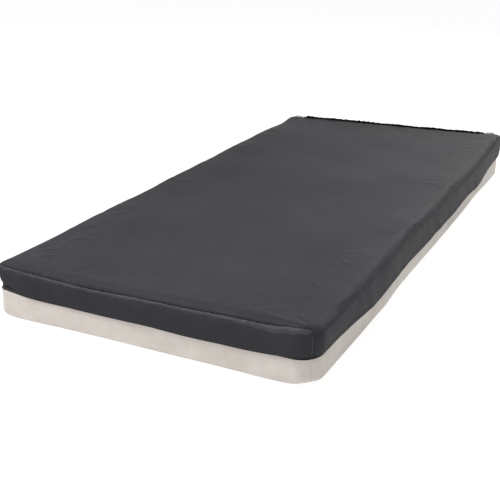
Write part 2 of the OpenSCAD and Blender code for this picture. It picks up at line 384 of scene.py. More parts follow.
def cover_surface(form):
    """The top cover's outer surface, with its crown, belly, loose hem and puckered seams."""
    foot = smooth(-form.oy, 0.25, 0.95)
    head = smooth(form.oy, 0.25, 0.95)
    side_r = SIDE_R - (SIDE_R - HEAD_R) * smooth(form.py, form.l - 0.16, form.l - 0.02)
    radius = side_r + (FOOT_R - side_r) * foot + (HEAD_R - side_r) * head
    p = form.place(radius, seam_slip(form.px, foot))
    down = np.clip(-p[:, 2] / form.depth, 0, 1)
    wall = smooth(form.q, -0.01, 0.02)
    plan = p * [1, 1, 0]

    # Crown of the lying surface, and the soft unevenness of foam under a loose cover
    lift = CROWN * (1 - (p[:, 0] / form.w) ** 4) * (1 - (p[:, 1] / form.l) ** 8) * (1 - wall)
    lift += 0.0012 * field(p, 11, 0.22, 0.7) * (1 - wall)

    # Belly of the walls, and the flap that hangs free below it: it stands off along the sides
    # and is drawn in round the corners
    middle = 1 - smooth(np.abs(p[:, 1]), form.l - 0.42, form.l - 0.05)
    right, left = smooth(form.ox, 0.5, 1), smooth(-form.ox, 0.5, 1)
    flare = (RIGHT_FLARE * right + LEFT_FLARE * left) * middle + 0.003 * right * bump_at(p[:, 1], 0.1, 0.3)
    out = flare * down**1.6 + BELLY * np.sin(math.pi * down**0.9)
    out += 0.0017 * field(plan, 12, 0.2, 0.7) * (0.35 + 0.65 * down)
    out += 0.0007 * field(p * [1, 1, 0.4], 13, 0.05, 0.12) * down**1.5
    tucked = bump_at(p[:, 0], -form.w, 0.07) * bump_at(p[:, 1], -form.l, 0.07)
    raised = bump_at(p[:, 0], form.w, 0.08) * bump_at(p[:, 1], -form.l, 0.48)
    out = (out - 0.0045 * tucked * down) * wall

    # The hem's wavy edge, drawn up at one foot corner
    drop = 0.0028 * field(plan, 14, 0.18, 0.7) * down**2
    drop += (0.020 * tucked + 0.012 * raised + 0.0035 * smooth(-form.oy, 0.5, 1)) * down
    drop += 0.004 * bump_at(p[:, 0], -form.w, 0.22) * bump_at(p[:, 1], -form.l, 0.1) * down

    p = p + np.stack([form.ox * out, form.oy * out, lift + drop], axis=1)
    p[:, 2] += TOP_Z

    # Puckers along the seams and soft wrinkles near them, pushed along the surface's own normal
    normal = vertex_normals(p, form.faces)
    seam = form.seam_distance()
    s = p[:, 0] + 1.7 * p[:, 2] + 3.1 * np.sign(p[:, 1])
    push = PUCKER_H * along(s, 21, 0.010, 0.030) * np.exp(-seam / PUCKER_FADE)
    push -= SEAM_SUNK * bump_at(seam, 0, 0.0042)
    push += 0.0006 * field(p, 22, 0.02, 0.06) * np.exp(-seam / 0.05)
    push -= creases(p) * (1 - wall)
    return settle_all(p + normal * push[:, None])


DRAPE_CAP = 0.0019


def drape(verts, faces, pinned, cap, frames=14, spare=0.009):
    """Lets cloth that is a little too large settle by simulation. Returns how far each point moved.

    pinned is 1 where the cloth is held and 0 where it is free. cap is the longest move at each point, and
    spare is the share by which the cloth is too large. Moves towards the foam are kept small, for the
    foam is in the way.
    """
    cloth = make_object("draping", verts, faces)
    held = cloth.vertex_groups.new(name="held")
    for level in np.unique(np.round(pinned, 2)):
        held.add(np.flatnonzero(np.round(pinned, 2) == level).tolist(), float(level), "REPLACE")
    modifier = cloth.modifiers.new("Cloth", "CLOTH")
    for key, value in (
        ("quality", 4), ("mass", 0.2), ("tension_stiffness", 25), ("compression_stiffness", 25),
        ("shear_stiffness", 12), ("bending_stiffness", 0.6), ("vertex_group_mass", "held"),
        ("shrink_min", -spare),
    ):
        setattr(modifier.settings, key, value)
    modifier.settings.effector_weights.gravity = 0
    modifier.collision_settings.use_collision = False
    modifier.point_cache.frame_end = frames
    for number in range(1, frames + 1):
        bpy.context.scene.frame_set(number)
    shape = cloth.evaluated_get(bpy.context.evaluated_depsgraph_get()).data
    settled = np.empty(len(verts) * 3, np.float32)
    shape.vertices.foreach_get("co", settled)
    bpy.context.scene.frame_set(1)
    bpy.data.meshes.remove(cloth.data)
    move = settled.reshape(-1, 3).astype(float) - verts
    move *= (cap / (cap + np.linalg.norm(move, axis=1)))[:, None]
    normals = vertex_normals(verts, faces)
    inward = np.minimum((move * normals).sum(axis=1), 0)[:, None]
    return move - 0.75 * inward * normals


def held_down(form):
    """1 where the cover lies firmly on the foam or is sewn to a stiff seam, less where it is loose."""
    from_edge = np.where(form.q < 0, -form.q, 0)
    lying = smooth(from_edge, 0.05, 0.22)
    seam = np.exp(-form.seam_distance() / 0.006)
    hem = 0.35 * smooth(form.q, form.depth - 0.02, form.depth)
    return np.clip(np.maximum(np.maximum(lying, seam), hem), 0.02, 1)


cover_verts = cover_surface(COVER)
longest_move = DRAPE_CAP * (1 - 0.7 * (COVER.q > 0))
cover_verts = cover_verts + drape(cover_verts, COVER.faces, held_down(COVER), longest_move)
cover_normals = vertex_normals(cover_verts, COVER.faces)


# ---- Materials ----

class Value:
    """A node's output in a material's tree. Sums and products of values add the nodes that work them out."""

    def __init__(self, socket):
        self.socket = socket
        self.tree = socket.id_data

    def to(self, kind, output, inputs, **settings):
        return add_node(self.tree, kind, output, inputs, **settings)

    def math(self, operation, other=0.0):
        return self.to("Math", 0, {0: self, 1: other}, operation=operation)

    def __add__(self, other):
        return self.math("ADD", other)

    def __sub__(self, other):
        return self.math("SUBTRACT", other)

    def __mul__(self, other):
        return self.math("MULTIPLY", other)

    def __abs__(self):
        return self.math("ABSOLUTE")

    def max(self, other):
        return self.math("MAXIMUM", other)

    def part(self, axis):
        return self.to("SeparateXYZ", axis, {"Vector": self})

    def stretched(self, *scale):
        return self.to("Mapping", "Vector", {"Vector": self, "Scale": scale})

    def span(self, low, high, start=0.0, end=1.0):
        """Maps start..end to low..high, and holds it there outside."""
        ends = {"Value": self, "From Min": start, "From Max": end, "To Min": low, "To Max": high}
        return self.to("MapRange", "Result", ends)


def put(socket, value):
    """Links a value to an input, or sets the input to a number or colour."""
    if isinstance(value, Value):
        socket.id_data.links.new(value.socket, socket)
    else:
        socket.default_value = (*value, 1.0) if socket.type == "RGBA" else value


def add_node(tree, kind, output, inputs, **settings):
    """Adds a node with these inputs and settings, and returns one of its outputs."""
    made = tree.nodes.new("ShaderNode" + kind)
    for key, value in settings.items():
        setattr(made, key, value)
    for key, value in inputs.items():
        put(made.inputs[key], value)
    return Value(made.outputs[output])


def noise(place, scale, detail=3.0, roughness=0.55):
    inputs = {"Vector": place, "Scale": scale, "Detail": detail, "Roughness": roughness}
    return place.to("TexNoise", "Fac", inputs)


def cells(place, scale):
    inputs = {"Vector": place, "Scale": scale}
    return place.to("TexVoronoi", "Distance", inputs)


def stripes(place, scale, direction, distortion=0.6):
    inputs = {"Vector": place, "Scale": scale, "Distortion": distortion, "Detail": 1.0}
    return place.to("TexWave", "Fac", inputs, bands_direction=direction)


# Where the Mix node keeps its colours among its sockets
MIX_FIRST, MIX_SECOND, MIX_RESULT = 6, 7, 2


def mix(amount, first, second):
    """The first colour where amount is 0, and the second where it is 1."""
    inputs = {"Factor": amount, MIX_FIRST: first, MIX_SECOND: second}
    return amount.to("Mix", MIX_RESULT, inputs, data_type="RGBA")


def bump(height, distance, strength, below=None):
    """A normal raised by height, on top of another bump where one is below it."""
    inputs = {"Height": height, "Distance": distance, "Strength": strength}
    if below is not None:
        inputs["Normal"] = below
    return height.to("Bump", "Normal", inputs)


def new_material(name, keeps_cad_mesh=False):
    """A material, and the place in it that its texture follows."""
    material = bpy.data.materials.new(name)
    material.use_nodes = True
    tree = material.node_tree
    if keeps_cad_mesh:
        return material, add_node(tree, "TexCoord", "Object", {})
    return material, add_node(tree, "Attribute", "Vector", {}, attribute_name="rest_place")


def finish(material, colour, roughness, **others):
    shader = material.node_tree.nodes["Principled BSDF"]
    put(shader.inputs["Base Color"], colour)
    put(shader.inputs["Roughness"], roughness)
    for key, value in others.items():
        put(shader.inputs[key.replace("_", " ")], value)
    return material


def coated_fabric(name, dark, light, worn, rough, shine=0.05):
    """Polyurethane-coated knit: ribbed grain, slow changes of tone, satin gloss and edges rubbed paler."""
    material, place = new_material(name)
    grain = stripes(place, 330, "X") * stripes(place, 330, "Y") + stripes(place, 330, "Z") * 0.5
    tone = noise(place, 2.6, 4.0, 0.6) * 0.75 + noise(place, 900, 2.0) * 0.25
    edge_x = abs(place.part("X")).span(0, 1, HALF_W - 0.035, HALF_W - 0.004)
    edge_y = abs(place.part("Y")).span(0, 1, HALF_L - 0.03, HALF_L - 0.004)
    high = place.part("Z").span(0, 1, TOP_Z - 0.045, TOP_Z - 0.008)
    rubbed = edge_x.max(edge_y) * high * noise(place, 38, 5.0, 0.7).span(0, 1, 0.48, 0.72)
    colour = mix(rubbed * 0.5, mix(tone.span(0, 1, 0.3, 0.7), dark, light), worn)
    normal = bump(grain, 0.0002, 0.55, bump(noise(place, 55), 0.0012, 0.30))
    gloss = noise(place, 9).span(rough - 0.05, rough + 0.05) + rubbed * -0.06
    return finish(material, colour, gloss, Normal=normal, Specular_IOR_Level=shine)


def woven_fabric(name, dark, light, soiled, rough):
    """Matt woven cloth: crossed threads, slubs and handling marks that gather low down."""
    material, place = new_material(name)
    weave = stripes(place, 210, "X").max(stripes(place, 210, "Y")) * stripes(place, 260, "Z")
    slow = noise(place, 6, 5.0, 0.65)
    tone = slow * 0.6 + noise(place.stretched(1, 1, 12), 60, 2.0) * 0.4
    marks = place.part("Z").span(1, 0.15, 0.0, 0.03) * noise(place, 17, 6.0, 0.7).span(0, 1, 0.5, 0.8)
    colour = mix(marks * 0.3, mix(tone.span(0, 1, 0.3, 0.7), dark, light), soiled)
    normal = bump(weave, 0.0003, 0.6, bump(noise(place, 40), 0.0015, 0.3))
    return finish(material, colour, slow.span(rough - 0.05, rough + 0.05), Normal=normal, Sheen_Weight=0.12,
                  Sheen_Roughness=0.5, Specular_IOR_Level=0.3)


def tape_fabric(name, dark, light, rough):
    """Narrow woven tape: a herringbone rib with painted shade between its ribs, and fine fuzz."""
    material, place = new_material(name)
    rib = stripes(place, 480, "DIAGONAL", 0.2).max(stripes(place, 300, "Z", 0.2))
    # The tone darkens between the ribs: painted shade in the grooves
    colour = mix(noise(place, 120, 4.0) * rib, dark, light)
    normal = bump(rib, 0.0003, 0.7, bump(noise(place, 1500, 2.0), 0.0001, 0.5))
    return finish(material, colour, noise(place, 30).span(rough - 0.06, rough + 0.06), Normal=normal,
                  Sheen_Weight=0.1, Specular_IOR_Level=0.3)


def felt(name, dark, light):
    """Needled fibre felt: fine fibres both ways and small needle pits, with painted shade in the pits."""
    material, place = new_material(name)
    fibres = noise(place.stretched(1, 9, 9), 260, 4.0, 0.7) + noise(place.stretched(9, 1, 9), 260, 4.0, 0.7)
    pits = cells(place, 330).span(0, 1, 0.05, 0.35)
    # The tone darkens in the needle pits: painted shade in the hollows
    tone = noise(place, 14, 5.0, 0.65) * pits.span(0.8, 1.0)
    return finish(material, mix(tone.span(0, 1, 0.3, 0.65), dark, light), 0.92,
                  Normal=bump(fibres * pits, 0.0006, 0.7), Sheen_Weight=0.3, Sheen_Roughness=0.7,
                  Specular_IOR_Level=0.2)


def foam(name, dark, light, cell_scale):
    """Open-cell foam: round pores of two sizes with painted shade in them, cut-knife streaks and an uneven
    tone.
    """
    material, place = new_material(name)
    pores = cells(place, cell_scale).span(0, 1, 0.1, 0.55)
    large = cells(place, cell_scale / 5).span(0, 1, 0.04, 0.2)
    streaks = noise(place.stretched(1, 14, 1), 22)
    tone = noise(place, 5, 5.0, 0.6) * 0.6 + streaks * 0.4
    # The tone darkens in the pores, small and large: painted shade in the hollows
    tone = tone * (pores.span(0.75, 1) * large.span(0.55, 1))
    normal = bump(pores, 0.0005, 0.7, bump(large, 0.0008, 0.6, bump(streaks, 0.0006, 0.4)))
    return finish(material, mix(tone.span(0, 1, 0.2, 0.6), dark, light), pores.span(1.0, 0.86), Normal=normal,
                  Specular_IOR_Level=0.15, Subsurface_Weight=0.08, Subsurface_Scale=0.004)


def coil_plastic(name, dark, light):
    """Nylon: dark, and polished paler and smoother in patches."""
    material, place = new_material(name)
    wear = noise(place, 240, 4.0).span(0, 1, 0.45, 0.7)
    return finish(material, mix(wear, dark, light), wear.span(0.5, 0.32),
                  Normal=bump(noise(place, 1800, 2.0), 0.00008, 0.5))


def moulded(name, dark, light, rough):
    """Moulded plastic: a faint grain, flow marks and scuffs."""
    material, place = new_material(name, keeps_cad_mesh=True)
    flow = noise(place.stretched(1, 1, 4), 90, 4.0)
    scuffs = noise(place.stretched(1, 7, 1), 420, 5.0, 0.7).span(0, 1, 0.58, 0.75)
    normal = bump(cells(place, 2600), 0.00006, 0.6, bump(flow, 0.0002, 0.3))
    return finish(material, mix((flow * 0.4).max(scuffs), dark, light), scuffs.span(rough, rough + 0.2),
                  Normal=normal, Specular_IOR_Level=0.5)


def enamelled(name, paint, bare, rough):
    """Enamelled die-cast metal, chipped to bare zinc where it rubs."""
    material, place = new_material(name, keeps_cad_mesh=True)
    chips = noise(place, 520, 6.0, 0.7).span(0, 1, 0.66, 0.70)
    normal = bump(noise(place, 900, 2.0) - chips, 0.00008, 0.6)
    return finish(material, mix(chips, paint, bare), chips.span(rough, 0.42), Normal=normal, Metallic=chips,
                  Coat_Weight=0.25, Coat_Roughness=0.2)


TOP_FABRIC = coated_fabric("top_fabric", (0.0250, 0.0244, 0.0292), (0.0350, 0.0342, 0.0392),
                           (0.060, 0.060, 0.065), 0.48)
# The piping is the cover's coated fabric in paler colours: a painted highlight along the lit seam ridges
WELT_FABRIC_PAINTED_HIGHLIGHT = coated_fabric("welt_fabric", (0.034, 0.034, 0.038), (0.048, 0.048, 0.053),
                            (0.085, 0.086, 0.091), 0.40, 0.14)
# The head lip is the cover's fabric darkened to near black: painted shade on the lip's face that turns away
# from the light
LIP_FABRIC_PAINTED_SHADE = coated_fabric("lip_fabric", (0.002, 0.002, 0.0022), (0.004, 0.004, 0.0043),
                           (0.005, 0.005, 0.0055), 0.8, 0.06)
BOTTOM_FABRIC = woven_fabric("bottom_fabric", (0.505, 0.453, 0.41), (0.645, 0.597, 0.555),
                             (0.30, 0.275, 0.25), 0.78)
SEAM_TAPE = tape_fabric("seam_tape", (0.55, 0.56, 0.56), (0.80, 0.81, 0.81), 0.7)
ZIP_TAPE = tape_fabric("zip_tape", (0.018, 0.018, 0.020), (0.050, 0.050, 0.054), 0.75)
THREAD = tape_fabric("thread", (0.030, 0.030, 0.034), (0.085, 0.085, 0.092), 0.55)
LINING = felt("lining_felt", (0.62, 0.61, 0.57), (0.84, 0.83, 0.80))
BASE_FOAM = foam("base_foam", (0.22, 0.31, 0.43), (0.37, 0.48, 0.61), 620)
RAIL_FOAM = foam("rail_foam", (0.40, 0.45, 0.50), (0.58, 0.63, 0.67), 700)
SUPPORT_FOAM = foam("support_foam", (0.62, 0.55, 0.33), (0.82, 0.76, 0.53), 760)
RELIEF_FOAM = foam("relief_foam", (0.68, 0.62, 0.51), (0.88, 0.84, 0.75), 900)
ZIP_COIL = coil_plastic("zip_coil", (0.012, 0.012, 0.014), (0.045, 0.045, 0.05))

for name, material in (
    ("zip_slider", enamelled("slider_enamel", (0.012, 0.012, 0.013), (0.55, 0.55, 0.56), 0.33)),
    ("pull_tab", enamelled("tab_enamel", (0.090, 0.090, 0.094), (0.50, 0.50, 0.52), 0.38)),
    ("zip_retainer_box", moulded("box_plastic", (0.012, 0.012, 0.013), (0.05, 0.05, 0.053), 0.42)),
    ("zip_insert_pin", moulded("pin_plastic", (0.010, 0.010, 0.011), (0.04, 0.04, 0.043), 0.38)),
):
    kept = frame["nodes"][name]
    kept.data.materials.clear()
    kept.data.materials.append(material)


# ---- Runs: each long layer is cut in three, and each run has one flex line ----

RUN_NAMES = ("head_run", "middle_run", "foot_run")
RUN_SECTIONS = (("back", "seat"), ("thigh",), ("calf",))
RUN_ENDS = ((CUT_HEAD_Y, HALF_L), (CUT_FOOT_Y, CUT_HEAD_Y), (-HALF_L, CUT_FOOT_Y))


def by_run(faces, verts):
    """Splits faces at the two cut lines: head run, middle run and foot run."""
    y = verts[faces].mean(axis=1)[:, 1]
    return faces[y > CUT_HEAD_Y], faces[(y <= CUT_HEAD_Y) & (y > CUT_FOOT_Y)], faces[y <= CUT_FOOT_Y]


# Each run's flex line, which two of the four bodies meet there, and how far before it the bend starts
BENDS = ((HIP_Y, 0, 1, -BEND_NEAR), (SEAT_Y, 0, 2, BEND_NEAR), (KNEE_Y, 2, 3, BEND_KNEE))


def dress(piece, material, nodes):
    """Gives a piece its material and hides the CAD nodes that it stands for."""
    piece.data.materials.append(material)
    # Blender ends a material's name in .001 where a CAD material already has it
    if nodes:
        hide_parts(*nodes)


def running(piece, run, material, layer=None):
    """One run of a long soft piece, dressed, with its placing baked into its mesh."""
    dress(piece, material, [f"{layer}_{section}" for section in RUN_SECTIONS[run]] if layer else [])
    flex_y, first, second, near = BENDS[run]
    flex_y + near
    flex_y - near
    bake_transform(piece)
    return piece


def riding(piece, body, material, *nodes):
    """A piece that stays whole, dressed and moving with one body."""
    dress(piece, material, nodes)
    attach(piece, body)
    return piece


def long_sheet(layer, outer, inner, faces, normals, material):
    """One continuous cloth between an outer and an inner surface, as three runs."""
    return [
        running(between(f"{layer}_{name}", outer, inner, part, normals), run, material, layer)
        for run, (name, part) in enumerate(zip(RUN_NAMES, by_run(faces, outer)))
    ]


# ---- Cover: wrap, end panels and lining ----

HEM_FOLD = 0.018
LINING_GAP = 0.0035
LINING_CORNER_GAP = 0.0045
LINING_T = 0.0012
# The hem is folded back on itself, so the cloth is twice as thick there
folded = 1 + smooth(COVER.q, COVER.depth - HEM_FOLD, COVER.depth - HEM_FOLD + 0.002)
cover_inner = cover_verts - cover_normals * (CLOTH_T * folded)[:, None]
wrap_faces = np.concatenate([COVER.top_faces, COVER.left_faces, COVER.right_faces])
top_cover = long_sheet("top_cover", cover_verts, cover_inner, wrap_faces, cover_normals, TOP_FABRIC)


def end_panel(name, faces, body):
    """The cover's cloth at one end, sewn to the wrap along its seams."""
    piece = between(f"{name}_fabric", cover_verts, cover_inner, faces, cover_normals)
    return riding(piece, body, TOP_FABRIC, name)


head_panel = end_panel("head_end_panel", COVER.head_faces, "cover_back")
foot_panel = end_panel("foot_end_panel", COVER.foot_faces, "cover_calf")

corner_gap = LINING_CORNER_GAP * np.exp(-np.abs(COVER.corner) / 0.03) * smooth(COVER.q, -0.06, -0.01)
lining_outer = cover_verts - cover_normals * (LINING_GAP + corner_gap)[:, None]
lining_inner = lining_outer - cover_normals * LINING_T
lined = COVER.faces[(COVER.q[COVER.faces] <= LINING_DROP + 1e-6).all(axis=1)]
lining = long_sheet("lining", lining_outer, lining_inner, lined, cover_normals, LINING)


# ---- Cover: seams, piping, head lip and stitching ----

def on_walls(columns, drop):
    """Points and normals of the cover's wall columns, first to last, at a drop below the edge."""
    first, last = columns
    chosen = COVER.columns[:, np.arange(first, last + 1) % COVER.columns.shape[1]]
    levels = np.concatenate([[0], COVER.drops])
    drop = np.broadcast_to(drop, chosen.shape[1])
    high = np.clip(np.searchsorted(levels, drop, side="right"), 1, len(levels) - 1)
    share = ((drop - levels[high - 1]) / (levels[high] - levels[high - 1]))[:, None]
    column = np.arange(chosen.shape[1])
    above, below = chosen[high - 1, column], chosen[high, column]
    return [values[above] * (1 - share) + values[below] * share for values in (cover_verts, cover_normals)]


def unit(rows):
    """Each row as a direction of length 1."""
    return rows / np.maximum(np.linalg.norm(rows, axis=1), 1e-9)[:, None]


def circle(sides):
    """The cosines and sines of even turns round a circle."""
    turns = np.linspace(0, 2 * math.pi, sides + 1)[:-1]
    return np.cos(turns), np.sin(turns)


FOOT = (COVER.corners[0], COVER.corners[1])
HEAD = (COVER.corners[2], COVER.corners[3])
PIPING_START, PIPING_H, PIPING_STAND = 0.0012, 0.0105, 0.0040
PIPING_UNDER = -0.0006
CORNER_PIPING_R = 0.0021
LIP_H = 0.0125
TAPE_END_H, TAPE_END_DEEP = 0.0130, 0.0034


def foot_piping():
    """The seam allowance folded down over the foot panel: a flattened, puckered ridge that ends in a
    deeper fold at one corner."""
    x = on_walls(FOOT, 0.0)[0][:, 0]
    fold = bump_at(x, 0.36, 0.07)
    height = PIPING_H + 0.0016 * along(x, 41, 0.02, 0.09) + PIPING_H * fold
    stand = PIPING_STAND + 0.0008 * along(x, 42, 0.012, 0.05) + 0.0016 * fold
    taper = smooth(x, -HALF_W + 0.004, -HALF_W + 0.05) * (1 - smooth(x, HALF_W - 0.045, HALF_W - 0.012))
    section = [(u, stand * (0.3 + 0.7 * taper) * math.sin(math.pi * (0.06 + 0.94 * u) ** 0.72) ** 0.8)
               for u in np.linspace(0, 1, 9)]
    section += [(u, np.full(len(x), PIPING_UNDER)) for u in (0.8, 0.2)]
    rings = []
    for u, rise in section:
        on_panel, normal = on_walls(FOOT, PIPING_START + height * u)
        rings.append(on_panel + normal * rise[:, None])
    return swept("foot_top_piping", np.stack(rings, axis=1)[1:-1], sharp=70)


def corner_piping(name, columns, first):
    """Piping down the vertical seams at both corners of one end, sunk in its groove. It starts at the drop
    first below the edge."""
    drops = np.arange(first, COVER.depth - 0.004, 0.0025)
    cosines, sines = circle(8)
    parts = []
    for column in columns:
        rows = [on_walls((column, column), drop) for drop in drops]
        centre, normal = (np.concatenate(part) for part in zip(*rows))
        normal = unit(normal)
        side = np.cross(unit(np.gradient(centre, axis=0)), normal)
        r = CORNER_PIPING_R * (1 + 0.12 * along(drops, 43 + column % 7, 0.006, 0.02))
        r *= np.minimum(1, 0.35 + (drops - first) / 0.006)
        around = cosines[:, None] * normal[:, None] + sines[:, None] * side[:, None]
        parts.append(centre[:, None] + r[:, None, None] * around - normal[:, None] * 0.0003)
    return merged(name, parts, sharp=70)


# The lip's section from its root up: height as a share, below 0 in metres, and half its thickness
LIP_SECTION = ((-0.003, 0.0012), (0.4, 0.0016), (0.85, 0.0018), (1.0, 0.0010))


def head_lip():
    """The head seam's allowance, standing up behind the lying surface as a thin wavy lip."""
    seam = on_walls(HEAD, 0.0)[0]
    seam = seam[np.abs(seam[:, 0]) < LIP_HI.x]
    x = seam[:, 0]
    ends = 1 - smooth(np.abs(x), LIP_HI.x - 0.03, LIP_HI.x)
    high = LIP_H * (0.6 + 0.4 * ends) + 0.0008 * along(x, 45, 0.06, 0.3) * ends
    lean = 0.0010 * along(x, 46, 0.03, 0.12)
    front_and_back = [(z, -half) for z, half in LIP_SECTION] + [(z, half) for z, half in LIP_SECTION[::-1]]
    rings = [seam + np.stack([0 * x, lean * max(z, 0) - 0.0006 + half, high * max(z, 0) + min(z, 0)], axis=1)
             for z, half in front_and_back]
    return swept("head_seam_lip", np.stack(rings, axis=1), sharp=70)


def head_tapes():
    """Light tape ends that finish the head seam at both corners, folded flat on top of it."""
    seam = on_walls(HEAD, 0.0)[0]
    seam = seam[np.argsort(seam[:, 0])]
    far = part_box("head_seam_tacks")[1].x + 0.002
    t = np.linspace(0, 1, 22)
    cosines, sines = circle(10)
    section = np.stack([0 * cosines, cosines, 0.5 + 0.5 * sines], axis=1)
    parts = []
    for side in (-1, 1):
        x = side * np.linspace(LIP_HI.x - 0.004, far, len(t))
        y, z = (np.interp(x, seam[:, 0], seam[:, k]) for k in (1, 2))
        high = TAPE_END_H * (np.sin(math.pi * (0.08 + 0.84 * t)) ** 0.4) + 0.0006 * along(x, 47, 0.01, 0.03)
        deep = TAPE_END_DEEP * (1 - 0.25 * t)
        centre = np.stack([x, y - 0.001, z - 0.0012], axis=1)
        parts.append(centre[:, None] + section[None] * np.stack([0 * x, deep, high], axis=1)[:, None])
    return merged("head_seam_tapes", parts, sharp=80)


foot_trims = [
    riding(foot_piping(), "cover_calf", WELT_FABRIC_PAINTED_HIGHLIGHT, "foot_top_welt"),
    riding(corner_piping("foot_corner_piping", FOOT, first=0.018), "cover_calf", WELT_FABRIC_PAINTED_HIGHLIGHT,
           "foot_corner_welts"),
]
head_trims = [
    riding(corner_piping("head_corner_piping", HEAD, first=0.012), "cover_back", WELT_FABRIC_PAINTED_HIGHLIGHT,
           "head_corner_welts"),
    riding(head_lip(), "cover_back", LIP_FABRIC_PAINTED_SHADE, "head_top_welt"),
    riding(head_tapes(), "cover_back", SEAM_TAPE, "head_seam_tacks"),
]

STITCH_PITCH = 0.0042
STITCH_L = 0.0031
STITCH_HALF_W = 0.00045
STITCH_H = 0.0004
STITCH_TIP = 0.35
STITCH_DIP = 0.2
HEM_STITCHES = (0.007, 0.0135)


def stitch_row(path, normals):
    """Thread stitches along a line: small raised bars, as points and faces."""
    far = np.concatenate([[0], np.cumsum(np.linalg.norm(np.diff(path, axis=0), axis=1))])
    at = np.arange(STITCH_PITCH / 2, far[-1], STITCH_PITCH)

    def beside(rows, distance):
        return np.stack([np.interp(at + distance, far, rows[:, k]) for k in range(3)], axis=1)

    ends = [beside(path, side * STITCH_L / 2) for side in (-1, 1)]
    out = unit(beside(normals, 0))
    side = np.cross(out, unit(ends[1] - ends[0]))
    middle = (ends[0] + ends[1]) / 2 + out * STITCH_H
    rows = []
    sections = ((ends[0], STITCH_TIP, STITCH_DIP), (middle, 1, 0), (ends[1], STITCH_TIP, STITCH_DIP))
    for centre, half, dip in sections:
        base = centre - out * dip * STITCH_H
        for across, up in ((-1, 0), (0, 1), (1, 0), (0, -1)):
            rows.append(base + side * across * half * STITCH_HALF_W + out * up * half * STITCH_H)
    bar = [*tube_faces(np.arange(12).reshape(3, 4)).tolist(), (3, 2, 1, 0), (8, 9, 10, 11)]
    faces = np.array(bar)[None] + (np.arange(len(at)) * 12)[:, None, None]
    return np.stack(rows, axis=1).reshape(-1, 3), faces.reshape(-1, 4)


def hem_stitching():
    """Two rows of stitches round the hem, in three runs."""
    whole_loop = (0, COVER.columns.shape[1])
    rows = [stitch_row(*on_walls(whole_loop, COVER.depth - above_hem)) for above_hem in HEM_STITCHES]
    verts = np.concatenate([row_verts for row_verts, _ in rows])
    faces = np.concatenate([rows[0][1], rows[1][1] + len(rows[0][0])])
    first = verts[faces.min(axis=1) // 12 * 12][:, 1]
    pieces = []
    for run, (low, high) in enumerate(RUN_ENDS):
        chosen = faces[(first > low - (1 if run == 2 else 0)) & (first <= high + (1 if run == 0 else 0))]
        used, local = np.unique(chosen, return_inverse=True)
        piece = make_object(f"hem_stitching_{RUN_NAMES[run]}", verts[used], local.reshape(-1, 4))
        pieces.append(running(piece, run, THREAD))
    return pieces


def top_stitching(name, end, body):
    """A row of stitches on the lying surface, just inside the seam at the foot, -1, or the head, 1."""
    near = (COVER.q < 0) & (np.abs(COVER.q + 0.005) < 1e-6) & (np.sign(COVER.py) == end)
    near &= np.abs(COVER.px) < HALF_W - max(COVER_CORNERS)
    order = np.argsort(COVER.px[near])
    piece = make_object(name, *stitch_row(cover_verts[near][order], cover_normals[near][order]))
    return riding(piece, body, THREAD)


stitching = hem_stitching()
foot_trims.append(top_stitching("foot_seam_stitching", -1, "cover_calf"))
head_trims.append(top_stitching("head_seam_stitching", 1, "cover_back"))


# ---- Base cover ----

BAND_EDGE_R, BAND_CORNER_EDGE_R = 0.009, 0.014
PLEAT = 0.0026
TAB_CLEARANCE = 0.0006
BASE = Form(BAND_HALF_W, BAND_HALF_L, BAND_Z, BAND_CORNERS, step_x=0.009, step_y=0.0085, rows=6)


def base_surface(form):
    """The lower cover's outer surface: a tray with a soft bottom edge, slack walls, and a folded pleat at
    each end of its end walls that stands proud of the sides."""
    p = form.place(BAND_EDGE_R + BAND_CORNER_EDGE_R * bump_at(form.corner, 0, 0.035) * (form.py < 0))
    up = np.clip(-p[:, 2] / form.depth, 0, 1)
    wall = smooth(form.q, 0.0, 0.02)
    loose = up * (1 - up) * 4
    plan = p * [1, 1, 0]
    low = 1 - smooth(up, 0.1, 0.8)
    out = 0.0028 * field(plan, 31, 0.15, 0.5) * wall * loose
    out += 0.0014 * field(p * [1, 1, 0.5], 32, 0.03, 0.08) * wall * loose
    side = smooth(form.ox, 0.5, 1)
    out += side * low * (0.0035 * bump_at(p[:, 1], -0.47, 0.07) - 0.004 * bump_at(p[:, 1], 0.66, 0.12))
    foot = smooth(-form.oy, 0.5, 1)
    out += foot * low * (0.0028 * bump_at(p[:, 0], 0.33, 0.08) - 0.0035 * bump_at(p[:, 0], -0.2, 0.2))
    pleat = smooth(form.corner, -0.05, -0.004) * (form.corner <= 0)
    out += PLEAT * pleat * (0.3 + 0.7 * low) * smooth(form.q, -0.004, 0.004)
    out -= 0.0010 * bump_at(form.corner, 0.002, 0.002) * wall
    out += 0.0007 * bump_at(form.q, BAND_EDGE_R, 0.0022)
    p = settle_all(np.stack([p[:, 0] + form.ox * out, p[:, 1] + form.oy * out, -p[:, 2]], axis=1))

    # The wall stays behind the pull tab wherever the tab hangs and swings
    reach = TAB_HI.z - TAB_LO.z
    beside = smooth(p[:, 1], PATH_LOW - reach - 0.07, PATH_LOW - reach + 0.01)
    beside *= 1 - smooth(p[:, 1], PATH_HIGH + reach - 0.01, PATH_HIGH + reach + 0.07)
    beside *= smooth(p[:, 2], 0.010, TAB_LO.z - 0.003)
    p[:, 0] -= np.maximum(p[:, 0] - (TAB_LO.x - TAB_CLEARANCE), 0) * beside
    return p


base_verts = base_surface(BASE)
base_faces = BASE.faces[:, ::-1]
base_normals = vertex_normals(base_verts, base_faces)
base_inner = base_verts - base_normals * CLOTH_T
bottom_cover = long_sheet("bottom_cover", base_verts, base_inner, base_faces, base_normals, BOTTOM_FABRIC)


# ---- Zip: tapes and coils round the whole side ----

LOWER_TAPE_LO, LOWER_TAPE_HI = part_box("lower_zip_tape_seat")
UPPER_TAPE_LO, UPPER_TAPE_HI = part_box("upper_zip_tape_seat")
